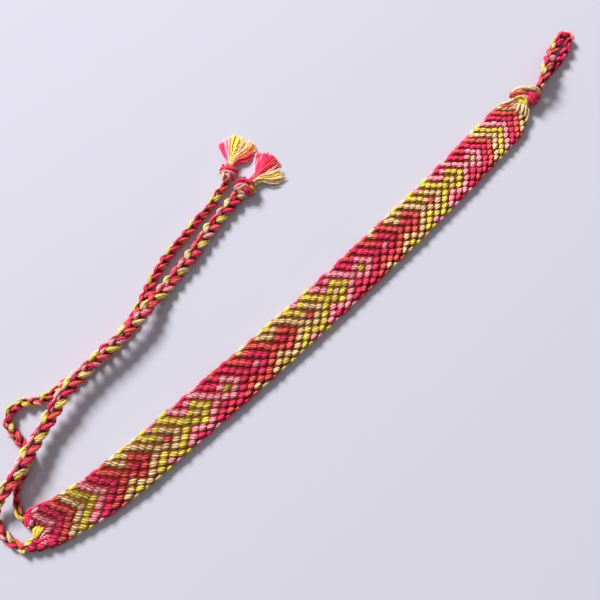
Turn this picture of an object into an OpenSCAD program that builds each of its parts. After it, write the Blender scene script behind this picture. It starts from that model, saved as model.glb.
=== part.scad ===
// Friendship bracelet: a band knotted from ten cotton strings, with a braided closing loop at one end
// and two braided ties, knotted and tasselled, at the other.
// It lies flat. +X runs along the band towards the loop, +Y towards the ties, +Z up, and it rests on z = 0.
// The origin is under the middle of the band, its gather knot and its loop taken together.

/* [Band] */
// Length of the knotted cloth from the notch of its fork to the end of its nose
band_length = 156; // [120:1:190]
// Width of the band
band_width = 10.5; // [8.5:0.25:13]
// Thickness of the knotted cloth
band_thickness = 2; // [1.5:0.1:2.6]
// Length that one row of knots takes along the band
knot_pitch = 2.85; // [2.4:0.05:3.4]
// How far the edge knots stand out past the dips between them
edge_scallop = 0.3; // [0.1:0.05:0.5]
// Width of the band at the notch of its fork
fork_width = 9.3; // [8:0.1:10.5]
// Length over which the band narrows towards the notch
fork_taper = 22; // [12:1:32]
// Length over which the band narrows into its nose
nose_length = 9; // [6:0.5:13]
// Width of the end of the nose
nose_width = 3.8; // [3:0.1:5]
// Height of the end of the nose, where the strings crowd together
nose_height = 2.8; // [2.2:0.1:3.4]

/* [Prongs of the fork] */
// Reach of the upper prong past the notch
prong_a_reach = 2.5; // [1.5:0.1:4]
// Reach of the lower prong past the notch
prong_b_reach = 4.6; // [3:0.1:7]

/* [Gather knot] */
// Length of the gather knot along the band
gather_length = 5.2; // [4:0.1:7]
// Width of the gather knot
gather_width = 6.4; // [5:0.1:8]
// Height of the gather knot
gather_height = 4.6; // [3.8:0.1:6]

/* [Closing loop] */
// Length of the loop from the gather knot to the outside of its tip
loop_length = 22.6; // [15:0.2:28]
// Width of the loop over both of its legs
loop_width = 5.5; // [5:0.1:8]
// Thickness of the braid that the loop is made of
loop_braid = 2.3; // [1.8:0.1:2.4]

/* [Ties] */
// Width of the tie from the upper prong
tie_a_width = 2.4; // [2:0.1:3]
// Height of the tie from the upper prong
tie_a_height = 2.2; // [1.8:0.1:2.8]
// Width of the tie from the lower prong
tie_b_width = 3.4; // [2.8:0.1:3.8]
// Height of the tie from the lower prong
tie_b_height = 2.3; // [1.8:0.1:2.8]

/* [End knots] */
// Length of the end knot of the upper tie
knot_a_length = 3; // [2.4:0.1:4]
// Width and height of the end knot of the upper tie
knot_a_size = [4.2, 3.4]; // [3:0.1:6]
// Length of the end knot of the lower tie
knot_b_length = 3.4; // [2.6:0.1:4.5]
// Width and height of the end knot of the lower tie
knot_b_size = [5.2, 3.7]; // [3:0.1:6.5]

/* [Tassels] */
// Length of the longest string ends past the knot of the upper tie
tassel_a_length = 9.5; // [6:0.5:14]
// Length of the longest string ends past the knot of the lower tie
tassel_b_length = 9.6; // [6:0.5:14]
// Width and height of the bundle where it leaves its knot
tassel_neck = [2.6, 2.2]; // [2:0.1:3]
// Height of the locks at their tips
tassel_tip_height = 0.9; // [0.6:0.1:1.4]

/* [Fits] */
// Gap between two pieces that meet
seat_gap = 0.1; // [0.05:0.05:0.2]

/* [Hidden] */

// How the band lies: [share of its length, heading in degrees]
band_bends = [[0, -16], [0.06, -12.5], [0.12, -4.5], [0.18, -2], [0.32, -2.4],
              [0.45, -0.8], [0.6, 0.5], [0.8, 2.4], [1, 4.5]];
// How the nose closes: [share of its length, share of the change to its end width and height]
nose_shape = [[0, 0], [0.3, 0.1], [0.45, 0.22], [0.57, 0.36], [0.7, 0.56], [0.85, 0.8], [1, 1]];

// Where the notch parts the band, as a share of its half width towards +Y
notch_side = 0.27;
// Section of the band, seen from its nose: [share of the half width, share of the thickness]
band_section = [[-0.84, 0], [-0.4, 0], [notch_side, 0], [0.6, 0], [0.84, 0],
                [0.97, 0.18], [1, 0.48], [0.95, 0.78],
                [0.8, 0.93], [0.55, 0.98], [notch_side, 1], [-0.4, 1], [-0.8, 0.93],
                [-0.95, 0.78], [-1, 0.48], [-0.97, 0.18]];
// Places in that section of the two points that the notch runs between
notch_low = 2;
notch_high = 10;

// Shapes of the prongs: [share of the reach, middle as a share of the half fork width,
// width as a share of the fork width, turn towards +Y in degrees]
prong_a_shape = [[0.5, 0.62, 0.3, 12], [1, 0.585, 0.2, 40]];
prong_b_shape = [[0.1, -0.37, 0.6, 0], [0.27, -0.37, 0.51, 4], [0.6, -0.4, 0.36, 12], [1, -0.45, 0.18, 22]];
// How far a prong's notch side is rounded: the shares of its half width that its edge and its middle reach
prong_rounding = [0.75, 1.05];

// Swell of a knot: [share of its length, share of its width and height]
knot_swell = [[0, 0.6], [0.08, 0.78], [0.25, 0.95], [0.45, 1], [0.65, 0.98], [0.85, 0.85], [0.95, 0.7],
              [1, 0.56]];
// Depth of the groove between a knot's wraps as a share of its radius, and the turns that it makes
knot_groove = 0.14;
gather_turns = 0.5;
end_knot_turns = 0.35;
// How far the gather knot leans back at its upper side, as a share of the width there
gather_lean = 0.25;
knot_sides = 14;

// Route of the loop's braid, from the gather knot round the tip and back: [share of the length,
// share of the spread between the legs, lift onto the other leg, share of the braid's thickness]
loop_route = [[0, 0, 1, 0.78], [0.08, 0.02, 1, 0.9], [0.16, 0.05, 1, 1.05], [0.3, 0.16, 0.95, 1.15],
              [0.45, 0.24, 0.62, 1.2], [0.6, 0.27, 0.22, 1.2], [0.74, 0.27, 0.06, 1.12], [0.85, 0.22, 0.02, 1.05],
              [0.94, 0.16, 0, 0.95], [0.98, 0, 0, 0.9], [0.99, -0.3, 0, 0.9], [0.955, -0.56, 0, 0.9],
              [0.905, -0.63, 0, 0.9], [0.8, -0.68, 0, 0.9], [0.68, -0.68, 0, 0.9], [0.54, -0.58, 0, 0.88],
              [0.4, -0.38, 0, 0.86], [0.28, -0.2, 0, 0.84], [0.16, -0.1, 0, 0.82], [0.08, -0.07, 0, 0.8],
              [0, -0.06, 0, 0.78]];
// Heading of the loop, turned from the end of the band
loop_angle = 13.5;
// Height over the surface at which the lower leg leaves the knot
loop_rise = 0.2;
braid_sides = 8;

// Routes of the ties on the surface: [x, y] from the tip of their prong, and the lift,
// from 0 on the surface to 1 on top of the other tie. The points are chosen by hand.
tie_a_route = [[0, 0, 0], [-0.2, 1.6, 0], [0.3, 3.5, 0], [1, 5.3, 0], [2.2, 6.8, 0], [3.7, 7.8, 0], [5.4, 8.7, 0],
               [7.1, 9.6, 0], [8.3, 11, 0], [8.9, 12.9, 0], [8.9, 15.2, 0], [8.8, 17.6, 0], [9.3, 19.7, 0],
               [10.6, 21.2, 0], [12.4, 21.7, 0], [14.2, 21.2, 0], [15.6, 20.2, 0], [16.9, 19.3, 0],
               [18.2, 18.6, 0], [19.8, 18.3, 0], [21.7, 18.2, 0], [23.7, 18, 0], [25.9, 17.9, 0], [28.5, 17.8, 0],
               [31.3, 17.9, 0], [34.3, 17.9, 0], [37, 18.1, 0], [39.7, 18.4, 0], [42.4, 18.9, 0], [45.2, 19.7, 0],
               [48, 20.8, 0], [50.8, 22.1, 0], [53.4, 23.4, 0], [56, 24.4, 0], [58.6, 25.3, 0], [61.1, 26, 0],
               [63.6, 26.5, 0], [66.2, 26.9, 0], [68.8, 27.4, 0], [71.3, 27.9, 0], [73.7, 28.4, 0],
               [76.1, 28.8, 0], [78.4, 29.3, 0], [80.6, 30, 0], [82.9, 30.6, 0], [85.3, 32.2, 0]];
tie_b_route = [[0, 0, 0], [-0.6, 1.5, 0], [-1.2, 2.9, 0], [-1.6, 4.7, 0], [-1.7, 6.7, 0], [-1.2, 8.5, 0.1],
               [-0.1, 10, 0.4], [1.6, 11, 0.75], [3.6, 11.6, 1], [5.8, 12.1, 1], [8.6, 12.9, 1], [11.4, 14.1, 1],
               [14.3, 15.4, 0.85], [17.5, 16.7, 0.75], [20.6, 17.8, 0.8], [23.6, 18.8, 1], [26.2, 19.7, 1],
               [29, 20.3, 1], [31.9, 20.6, 1], [34.7, 20.8, 1], [37.6, 20.8, 1], [40.3, 20.9, 1], [43, 21, 1],
               [45.7, 21.3, 1], [48.8, 21.8, 1], [51.9, 22.5, 0.8], [55.2, 23.4, 0.35], [58.5, 24.1, 0],
               [61.2, 24.6, 0], [63.9, 25.1, 0], [66.4, 25.6, 0], [68.9, 26.2, 0], [71.2, 26.8, 0],
               [73.5, 27.5, 0], [75.6, 28.1, 0], [77.9, 28.6, 0], [80, 29, 0], [82, 29.4, 0], [84, 29.7, 0],
               [86.2, 30, 0], [88.6, 30.3, 0]];
// Width of a tie along its route: [share of its points, share of its width]
tie_a_swell = [[0, 0.62], [0.1, 0.64], [0.2, 0.9], [0.45, 1], [1, 1]];
tie_b_swell = [[0, 0.66], [0.05, 0.58], [0.12, 0.62], [0.2, 0.85], [0.27, 1], [1, 1]];

// Locks of the tassels: [angle from the end of the tie, share of the length]
tassel_a_locks = [[30, 0.82], [20, 0.93], [10, 1], [-2, 1], [-14, 0.95], [-24, 0.93], [-35, 0.88],
                  [-47, 0.48]];
tassel_b_locks = [[27, 0.83], [20, 0.95], [10, 1], [0, 0.97], [-11, 0.92], [-22, 0.88], [-33, 0.86],
                  [-43, 0.78]];
// Stations along a lock: [share of its length, share of the fall from the neck's height to the tip's]
lock_stations = [[0, 0], [0.18, 0.05], [0.4, 0.35], [0.65, 0.65], [0.85, 0.85], [1, 1]];
// Reach and height of the dips between two locks, as shares of theirs
dip_reach = 0.8;
dip_height = 0.65;

// Lengths and points

// Point or number a share t of the way from a to b
function mix(a, b, t) = a + (b - a) * t;

// Direction on the surface at a heading
function along(heading) = [cos(heading), sin(heading), 0];

// Direction on the surface to the left of a heading
function left(heading) = [-sin(heading), cos(heading), 0];

// Heading of the run from point a to point b
function heading_of(a, b) = atan2(b.y - a.y, b.x - a.x);

// Heading of a route of points at its point i
function route_heading(points, i) =
    heading_of(points[max(i - 1, 0)], points[min(i + 1, len(points) - 1)]);

function last_of(list) = list[len(list) - 1];

// Rings and skins. Every ring runs anticlockwise, seen from the end that the skin runs towards.

// Faces between rings, each given as a list of the numbers of its points
function walls(rows) =
    [for (k = [0 : len(rows) - 2]) for (i = [0 : len(rows[k]) - 1])
        let (j = (i + 1) % len(rows[k]))
        each [[rows[k][i], rows[k + 1][i], rows[k + 1][j]], [rows[k][i], rows[k + 1][j], rows[k][j]]]];

function reversed(list) = [for (i = [len(list) - 1 : -1 : 0]) list[i]];

// Numbers of the points of count rings with size points each, from the number first on
function row_numbers(first, count, size) =
    [for (k = [0 : count - 1]) [for (i = [0 : size - 1]) first + k * size + i]];

// Oval ring across a heading
function oval(centre, heading, width, height, sides) =
    [for (i = [0 : sides - 1]) let (a = 360 * i / sides)
        centre + left(heading) * width / 2 * cos(a) + [0, 0, height / 2 * sin(a)]];

// Faces that close one end of a skin, as strips from one side of its ring to the other
function end_faces(row) =
    let (half = len(row) / 2)
    [for (i = [0 : half - 2])
        each [[row[half - 2 - i], row[half - 1 - i], row[half + i]],
              [row[half - 2 - i], row[half + i], row[half + i + 1]]]];

// Closed skin over rings of one size, which has an even number of points
module skin(rings) {
    rows = row_numbers(0, len(rings), len(rings[0]));
    polyhedron(points = [for (ring = rings) each ring],
               faces = concat(end_faces(rows[0]), walls(rows), end_faces(reversed(last_of(rows)))));
}

// The band lies along a line that starts at its notch, at [0, 0], and follows its bends

band_steps = 2 * round(band_length / knot_pitch);
band_step = band_length / band_steps;

function band_heading(k) = lookup(k / band_steps, band_bends);

// Middle line of the band on the surface, one point for each half row of knots
band_line = [for (k = 0, p = [0, 0, 0]; k <= band_steps;
                  p = p + along((band_heading(k) + band_heading(k + 1)) / 2) * band_step, k = k + 1) p];

// Share of the nose that lies behind the station k
function nose_share(k) = lookup(1 - (band_steps - k) * band_step / nose_length, nose_shape);

function band_width_at(k) =
    mix(mix(fork_width, band_width, min(1, k * band_step / fork_taper)), nose_width, nose_share(k));

function band_height_at(k) = mix(band_thickness, nose_height, nose_share(k));

// Odd stations lie in the dips between edge knots
function dip_at(k) = k % 2 == 1 ? edge_scallop : 0;

function band_ring(k) =
    let (half = band_width_at(k) / 2 - dip_at(k), tall = band_height_at(k), side = left(band_heading(k)))
    [for (p = band_section) band_line[k] + side * half * p.x + [0, 0, tall * p.y]];

// Prongs. Each ring of a prong is one half of the first ring of the band, drawn in and turned.

section_size = len(band_section);
half_a = [for (i = [notch_low : notch_high]) i];
half_b = concat([for (i = [notch_high : section_size - 1]) i], [for (i = [0 : notch_low]) i]);
prong_size = len(half_a) + 1;

// Middle of a prong's ring on the surface
function prong_middle(shape, reach) =
    along(band_heading(0)) * -reach * shape[0] + left(band_heading(0)) * fork_width / 2 * shape[1];

// Heading of the band at a prong's ring
function prong_turn(shape) = band_heading(0) - shape[3];

// Ring of a prong: side is 1 for the half towards +Y and -1 for the other
function prong_ring(half, side, shape, reach) =
    let (middle = (notch_side + side) / 2, root = (1 - side * notch_side) / 2,
         half_width = fork_width * shape[2] / 2)
    [for (p = concat([for (i = half) band_section[i]], [[notch_side, 0.5]]))
        let (share = (p.x - middle) / root,
             drawn = share * side > -0.99 ? share : -side * (p.y == 0.5 ? prong_rounding[1] : prong_rounding[0]))
        prong_middle(shape, reach) + left(prong_turn(shape)) * half_width * drawn + [0, 0, band_thickness * p.y]];

// Where a tie leaves the tip of its prong, and its heading there
function prong_tip(shapes, reach) = prong_middle(last_of(shapes), reach);
function prong_exit(shapes) = prong_turn(last_of(shapes)) + 180;

tip_a = prong_tip(prong_a_shape, prong_a_reach);
tip_b = prong_tip(prong_b_shape, prong_b_reach);

// Knots

// Ring of a knot a share t of the way along it. The groove between its wraps turns with t.
function knot_ring(start, heading, size, t, turns, lean) =
    let (swell = lookup(t, knot_swell))
    [for (i = [0 : knot_sides - 1])
        let (a = 360 * i / knot_sides,
             groove = 1 - knot_groove * pow(max(0, cos(a - 90 - 360 * turns * (t - 0.5))), 4) * sin(180 * t),
             across = size.y / 2 * swell * groove * cos(a),
             up = size.z / 2 * swell * groove * sin(a),
             back = lean * across * sin(180 * t))
        start + along(heading) * (size.x * t - back) + left(heading) * across + [0, 0, size.z / 2 + up]];

// Knot of size [length, width, height] with its first face at start
module knot(start, heading, size, turns, lean = 0) {
    skin([for (station = knot_swell) knot_ring(start, heading, size, station[0], turns, lean)]);
}

gather_start = last_of(band_line) + along(band_heading(band_steps)) * seat_gap;
gather_end = gather_start + along(band_heading(band_steps)) * gather_length;

// Loop

loop_heading = band_heading(band_steps) + loop_angle;
loop_start = gather_end + along(loop_heading) * seat_gap;

// Middle of the braid at a row of its route
function loop_point(row) =
    loop_start + along(loop_heading) * row[0] * (loop_length - loop_braid / 2)
    + left(loop_heading) * row[1] * (loop_width - loop_braid)
    + [0, 0, loop_rise * (1 - row[0]) + loop_braid / 2 + row[2] * (loop_braid + seat_gap)];

loop_points = [for (row = loop_route) loop_point(row)];

// Heading of the braid at its point i. Its two ends face the gather knot.
function loop_heading_at(i) =
    i == 0 ? band_heading(band_steps)
    : i == len(loop_points) - 1 ? band_heading(band_steps) + 180
    : route_heading(loop_points, i);

// Ties

// Point of a tie at a row of its route. Its lift carries it over the other tie.
function tie_point(tip, row, height) =
    tip + [row[0], row[1], height / 2 + row[2] * (tie_a_height + seat_gap)];

// Points of a tie, from just past the tip of its prong
function tie_points(tip, exit, route, height) =
    [for (i = [0 : len(route) - 1])
        tie_point(tip, route[i], height) + (i == 0 ? along(exit) * seat_gap : [0, 0, 0])];

function tie_rings(points, exit, width, height, swell) =
    [for (i = [0 : len(points) - 1])
        oval(points[i], i == 0 ? exit : route_heading(points, i),
             width * lookup(i / (len(points) - 1), swell), height, braid_sides)];

tie_a_points = tie_points(tip_a, prong_exit(prong_a_shape), tie_a_route, tie_a_height);
tie_b_points = tie_points(tip_b, prong_exit(prong_b_shape), tie_b_route, tie_b_height);

// Point on the surface under the end of a tie, and the tie's heading there
function tie_foot(points) = [last_of(points).x, last_of(points).y, 0];
function tie_end(points) = route_heading(points, len(points) - 1);

// Where a tie's knot starts, and where its tassel starts
function knot_start(points) = tie_foot(points) + along(tie_end(points)) * seat_gap;
function tassel_start(points, length) = tie_foot(points) + along(tie_end(points)) * (length + 2 * seat_gap);

// Tassels. The locks are ribs on one fan, which starts at the neck and ends in separate tips.

// Row of columns through the locks: each lock, and the dip between it and the next one
function lock_columns(locks) =
    [for (i = [0 : 2 * len(locks) - 2])
        let (here = locks[floor(i / 2)], next = locks[ceil(i / 2)], in_dip = i % 2 == 1)
        [(here[0] + next[0]) / 2, (here[1] + next[1]) / 2 * (in_dip ? dip_reach : 1), in_dip ? dip_height : 1]];

// Ring of the fan at one station: over the locks from left to right, and back under them
function fan_ring(start, heading, length, columns, station) =
    let (count = len(columns),
         over = [for (i = [0 : count - 1])
             let (column = columns[i], across = 1 - 2 * i / (count - 1),
                  edge = sqrt(1 - 0.75 * across * across),
                  tall = mix(tassel_neck.y * edge, tassel_tip_height, station[1]),
                  rib = mix(1, column[2], min(1, station[0] * 3)))
             start + left(heading) * tassel_neck.x / 2 * across
             + along(heading + column[0] * min(1, station[0] * 4)) * length * column[1] * station[0]
             + [0, 0, tall * rib]])
    concat(reversed([for (p = over) [p.x, p.y, 0]]), over);

module tassel(start, heading, length, locks) {
    columns = lock_columns(locks);
    skin([for (station = lock_stations) fan_ring(start, heading, length, columns, station)]);
}

// The pieces' places above have the notch at [0, 0]. The part's origin is under the middle of its body.

body_points = concat([for (k = [0 : band_steps]) each band_ring(k)],
                     prong_ring(half_a, 1, last_of(prong_a_shape), prong_a_reach),
                     prong_ring(half_b, -1, last_of(prong_b_shape), prong_b_reach),
                     [for (i = [0 : len(loop_points) - 1])
                         each oval(loop_points[i], loop_heading_at(i), loop_braid * loop_route[i][3],
                                   loop_braid * loop_route[i][3], braid_sides)]);
body_low = [min([for (p = body_points) p.x]), min([for (p = body_points) p.y])];
body_high = [max([for (p = body_points) p.x]), max([for (p = body_points) p.y])];

module place() {
    middle = (body_low + body_high) / 2;
    translate([-middle.x, -middle.y, 0]) children();
}

// Parts

module band() {
    line_rows = row_numbers(0, band_steps + 1, section_size);
    notch_middle = section_size * (band_steps + 1);
    rows_a = row_numbers(notch_middle + 1, len(prong_a_shape), prong_size);
    rows_b = row_numbers(notch_middle + 1 + len(prong_a_shape) * prong_size, len(prong_b_shape), prong_size);
    from_tip_a = concat(reversed(rows_a), [concat(half_a, [notch_middle])]);
    from_tip_b = concat(reversed(rows_b), [concat(half_b, [notch_middle])]);
    points = concat(
        [for (k = [0 : band_steps]) each band_ring(k)],
        [left(band_heading(0)) * fork_width / 2 * notch_side + [0, 0, band_thickness / 2]],
        [for (shape = prong_a_shape) each prong_ring(half_a, 1, shape, prong_a_reach)],
        [for (shape = prong_b_shape) each prong_ring(half_b, -1, shape, prong_b_reach)]);
    color("#e06377") place() polyhedron(points = points, faces = concat(
        end_faces(from_tip_a[0]), walls(from_tip_a),
        end_faces(from_tip_b[0]), walls(from_tip_b),
        walls(line_rows), end_faces(reversed(last_of(line_rows)))));
}

module gather_knot() {
    color("#f0b79a") place()
        knot(gather_start, band_heading(band_steps), [gather_length, gather_width, gather_height],
             gather_turns, gather_lean);
}

module loop() {
    color("#e0466c") place()
        skin([for (i = [0 : len(loop_points) - 1])
            oval(loop_points[i], loop_heading_at(i), loop_braid * loop_route[i][3],
                 loop_braid * loop_route[i][3], braid_sides)]);
}

module tie_a() {
    color("#e8c05a") place()
        skin(tie_rings(tie_a_points, prong_exit(prong_a_shape), tie_a_width, tie_a_height, tie_a_swell));
}

module tie_b() {
    color("#e8506e") place()
        skin(tie_rings(tie_b_points, prong_exit(prong_b_shape), tie_b_width, tie_b_height, tie_b_swell));
}

module knot_a() {
    color("#c98088") place()
        knot(knot_start(tie_a_points), tie_end(tie_a_points), [knot_a_length, knot_a_size.x, knot_a_size.y],
             end_knot_turns);
}

module knot_b() {
    color("#e58a8a") place()
        knot(knot_start(tie_b_points), tie_end(tie_b_points), [knot_b_length, knot_b_size.x, knot_b_size.y],
             end_knot_turns);
}

module tassel_a() {
    color("#e6cf4a") place()
        tassel(tassel_start(tie_a_points, knot_a_length), tie_end(tie_a_points),
               tassel_a_length, tassel_a_locks);
}

module tassel_b() {
    color("#ee6a66") place()
        tassel(tassel_start(tie_b_points, knot_b_length), tie_end(tie_b_points),
               tassel_b_length, tassel_b_locks);
}

band();
gather_knot();
loop();
tie_a();
tie_b();
knot_a();
knot_b();
tassel_a();
tassel_b();
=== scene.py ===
"""Friendship bracelet of knotted cotton, lying open: a band of small knots with a gather knot and a
braided loop at one end, and two braided ties with knots and tassels at the other.

Sizes are in millimetres in the part's own frame, +X along the band towards the loop, and MM turns
them into metres. Yarns are closed tubes with a ridge for each ply.
"""

import math

import bpy
import numpy as np
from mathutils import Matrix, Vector


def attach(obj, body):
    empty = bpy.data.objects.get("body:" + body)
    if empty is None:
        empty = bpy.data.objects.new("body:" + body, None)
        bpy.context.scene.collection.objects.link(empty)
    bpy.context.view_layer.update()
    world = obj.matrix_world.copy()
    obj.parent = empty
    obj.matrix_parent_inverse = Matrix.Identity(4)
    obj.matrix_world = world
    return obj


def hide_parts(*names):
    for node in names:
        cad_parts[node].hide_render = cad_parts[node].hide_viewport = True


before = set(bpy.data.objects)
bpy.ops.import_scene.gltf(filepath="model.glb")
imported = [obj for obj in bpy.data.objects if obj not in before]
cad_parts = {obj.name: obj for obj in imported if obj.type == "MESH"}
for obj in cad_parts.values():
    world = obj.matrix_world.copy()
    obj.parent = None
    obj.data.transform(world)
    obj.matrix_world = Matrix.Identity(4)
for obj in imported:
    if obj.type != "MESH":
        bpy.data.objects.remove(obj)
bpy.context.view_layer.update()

MM = 0.001
SEED = 11
UP = np.array([0.0, 0.0, 1.0])

# Colours of the strings, as sRGB from 0 to 255: on the crowns of the yarn, and the painted shade down in its
# folds
PALE, HOT, CORAL, CREAM, YELLOW = range(5)
STRING_COLOURS = [
    ("pale_pink", (255, 178, 190), (150, 34, 48)),
    ("hot_pink", (248, 62, 110), (118, 0, 18)),
    ("coral", (248, 104, 98), (116, 4, 4)),
    ("cream", (252, 220, 166), (116, 62, 20)),
    ("yellow", (250, 222, 98), (118, 86, 0)),
]

# Cotton: its brightness adds up from a base and its weighted tone (random, with painted light and shade on
# the band), fibres, streaks and broad patches. Their
# grain is round the yarn and along it. The streaks slant, in radians, and show between two values of noise.
COTTON_BASE, TONE_WEIGHT, FIBRE_WEIGHT, STREAK_WEIGHT, PATCH_WEIGHT = 0.36, 0.08, 0.5, 0.52, 0.35
FIBRE_GRAIN, STREAK_GRAIN, PATCH_GRAIN = (7.0, 0.9, 1.0), (2.8, 0.5, 1.0), 0.35
STREAK_SLANT, STREAK_NOISE = 0.35, (0.36, 0.64)
# How open a place is where its colour is all painted fold shade and where it is all crown, and the height of
# its fibres
FOLD_OPEN, CROWN_OPEN, FIBRE_RELIEF = 0.05, 0.9, 0.06

# Camera: where it stands, its lean from straight down, how far it is turned, and its lens
CAMERA_AT = (-42.543, -27.984, 132.1)
CAMERA_LEAN, CAMERA_TURN, CAMERA_LENS = 17.47, -43.8, 34.68

# Paper under the bracelet: colour as sRGB from 0 to 255, half its width in metres. Window: place in metres
PAPER_COLOUR, PAPER_HALF = (200, 200, 216), 3.0
WINDOW_AT = (0.1, 1.75, 1.28)

# Band: its notch, its length, and how it lies as (share of the length, heading in degrees)
NOTCH = (-88.441, 2.867)
BAND_LENGTH = 156.0
BAND_WIDTH = 10.5
BAND_BENDS = [(0, -16), (0.06, -12.5), (0.12, -4.5), (0.18, -2), (0.32, -2.4),
              (0.45, -0.8), (0.6, 0.5), (0.8, 2.4), (1, 4.5)]
# Width and thickness along the band: (place from the notch, width, thickness)
BAND_FORM = [(0, 9.3, 2), (22, 10.5, 2), (147, 10.5, 2), (149.7, 9.8, 2.1), (152.1, 8.1, 2.3),
             (154.7, 5.2, 2.65), (156, 3.8, 2.8)]
# Where the rows of knots lie: (row, place of its point from the notch). The pitch before these is even.
ROW_PLACES = [(-21, 0.1), (-20, 2.4), (-17, 9.2), (-14, 17.4), (-12, 22.8), (21, 116.5), (27, 133.1),
              (36, 153.6)]
EARLY_PITCH = 2.52
FIRST_ROW, LAST_ROW = -21, 36
# Share of a row's pitch that an arm of its chevron falls back for each knot, on the -Y and the +Y side, as
# (place of the row's point from the notch, share)
ARM_FALL = {-1: [(0, 0.37), (20, 0.45), (35, 0.42), (60, 0.5), (110, 0.53), (125, 0.5), (145, 0.53)],
            1: [(0, 0.34), (25, 0.4), (60, 0.38), (110, 0.32), (128, 0.34), (145, 0.43)]}
# Knots down each arm past the row's point, and the step from one to the next across the band in half widths
ARM_KNOTS, COLUMN = 4, 0.212
# The colours lie in rings round diamonds, whose middles are this many strings apart, and in chevrons before
# the first. The knot at the point of one row is paler than that.
DIAMOND_STEP, DIAMONDS, CHEVRON_SHIFT, PALE_ROW = 3, (-4, 10), 10, 27
# Place of the first knots on the -Y and the +Y side. Up to near the notch they are all hot pink.
FIRST_KNOT = {-1: -3.0, 1: -2.0}
PRONG_COLOUR_END = -0.4

# A knot: half its length on the -Y and the +Y side, half its width, less at the edges of the band, and as
# shares of the band's thickness its height and how high it lies over the middle
KNOT_LENGTH = {-1: 1.14, 1: 1.24}
KNOT_WIDTH, EDGE_KNOT_WIDTH = 0.94, 0.76
KNOT_HEIGHT, KNOT_LEVEL = 0.68, 0.165
# Share of their place across that the knots at the edges keep, and how far knots stray along and across
EDGE_KNOT_IN, PLACE_SPREAD, SHARE_SPREAD = 0.95, 0.08, 0.012
# How its three sizes vary, how far its ends dip, how unlike they are, how far it bows, its spread of tones
KNOT_SPREADS = ((0.9, 1.1), (0.9, 1.08), (0.95, 1.03))
KNOT_DIP, KNOT_TAPER, KNOT_BOW, KNOT_TONE_SPREAD = 0.25, 0.16, 0.12, 1.2
# How far the knots are turned on the surface in degrees: on the +Y side, on the -Y side as (place from the
# notch, degrees), and how much that varies
HIGH_ARM_LEAN = -30
LOW_ARM_LEAN = [(0, -24), (40, -12), (90, 12), (156, 24)]
LEAN_SPREAD = 7
# How far the knots of a row are tilted to the +Y side: (place from the notch, degrees), and how much more
# those of the -Y side are
KNOT_TILT = [(0, -24), (20, -15), (40, -5), (55, 0), (75, -4), (95, 3), (112, 5), (128, 16), (142, 14),
             (152, 4)]
LOW_ARM_TILT = 14
# Painted light and shade along the band, as (place from the notch, tone), and across it, where the middle is
# painted darker and the edges lighter, as (share of the half width to +Y, tone)
BAND_PAINTED_LIGHT = [(0, -2.6), (12, -1.8), (30, -0.8), (48, 0), (70, -0.5), (86, 0.6), (98, 1), (116, 1.4),
              (124, 3.2), (142, 3.2), (156, 1.5)]
COLUMN_PAINTED_LIGHT = [(-0.85, 1.6), (-0.45, 1.2), (-0.2, -1.4), (0, -2.2), (0.2, -1.8), (0.45, -0.2), (0.85, 1)]

# Strings along the two edges: (side, place of the first, radius, how far in, how far it bulges, height as a
# share of the thickness, how far it runs under the next), and how far they sag and rise as such shares
EDGES = [(-1, 0.5, 0.46, 0.66, 0.34, 0.46, 0.5), (1, -1.2, 0.58, 0.84, 0.42, 0.6, 0.6)]
EDGE_SAG, EDGE_RISE = 0.08, 0.1

# Inner strings: how far inside the band's edges they lie, half their height as a share of its thickness, and
# how far apart their rings are
CORE_INSET, CORE_HALF, CORE_STEP = 0.85, 0.22, 1.4
# Cloth at a knot, painted all in shade: half its length and width, half its height and its level as shares of
# the thickness
BED_LENGTH, BED_WIDTH, BED_HEIGHT, BED_LEVEL = 1.7, 1.15, 0.24, 0.14

# Middle line of the band, worked out at this step and past both its ends
LINE_STEP, LINE_PAST = 0.5, 8.0

# Prongs past the notch, which parts the band at this share of its half width: (reach, middle, half width)
NOTCH_SHARE = 0.27
PRONG_A = [(0, 2.95, 1.7), (1.25, 2.88, 1.4), (2.5, 2.72, 0.93)]
PRONG_B = [(0, -1.7, 2.95), (0.46, -1.72, 2.79), (1.24, -1.72, 2.37), (2.76, -1.86, 1.67),
           (4.6, -2.09, 0.84)]

# Ties: the full lift of one over the other, how far they run into their knots, where they leave their
# prongs, their routes from there as (x, y) or (x, y, share of that lift), how thick they are as (share of the
# route's points, share of the full width), their width, height and length, how far they start inside their
# prongs, and how their braids turn as (length along the tie, whole turns since a string of the first bundle
# lay on top at the left). A bundle is the string that shows on the left of the braid and the one on its
# right. Each is two yarns, as (from this length on, colour, colour of the other where that differs).
TIE_LIFT, TIE_IN_KNOT = 2.3, 1.0
TIE_A_EXIT = (-90.095, 6.171)
TIE_A_ROUTE = [
    (0, 0), (-0.2, 1.6), (0.3, 3.5), (1, 5.3), (2.2, 6.8), (3.7, 7.8), (5.4, 8.7), (7.1, 9.6), (8.3, 11),
    (8.9, 12.9), (8.9, 15.2), (8.8, 17.6), (9.3, 19.7), (10.6, 21.2), (12.4, 21.7), (14.2, 21.2),
    (15.6, 20.2), (16.9, 19.3), (18.2, 18.6), (19.8, 18.3), (21.7, 18.2), (23.7, 18), (25.9, 17.9),
    (28.5, 17.8), (31.3, 17.9), (34.3, 17.9), (37, 18.1), (39.7, 18.4), (42.4, 18.9), (45.2, 19.7),
    (48, 20.8), (50.8, 22.1), (53.4, 23.4), (56, 24.4), (58.6, 25.3), (61.1, 26), (63.6, 26.5),
    (66.2, 26.9), (68.8, 27.4), (71.3, 27.9), (73.7, 28.4), (76.1, 28.8), (78.4, 29.3), (80.6, 30),
    (82.9, 30.6), (85.3, 32.2)]
TIE_A_SWELL = [(0, 0.62), (0.1, 0.64), (0.2, 0.9), (0.45, 1), (1, 1)]
TIE_A_SIZE, TIE_A_IN_PRONG = (2.4, 2.2, 104), 1.5
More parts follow.
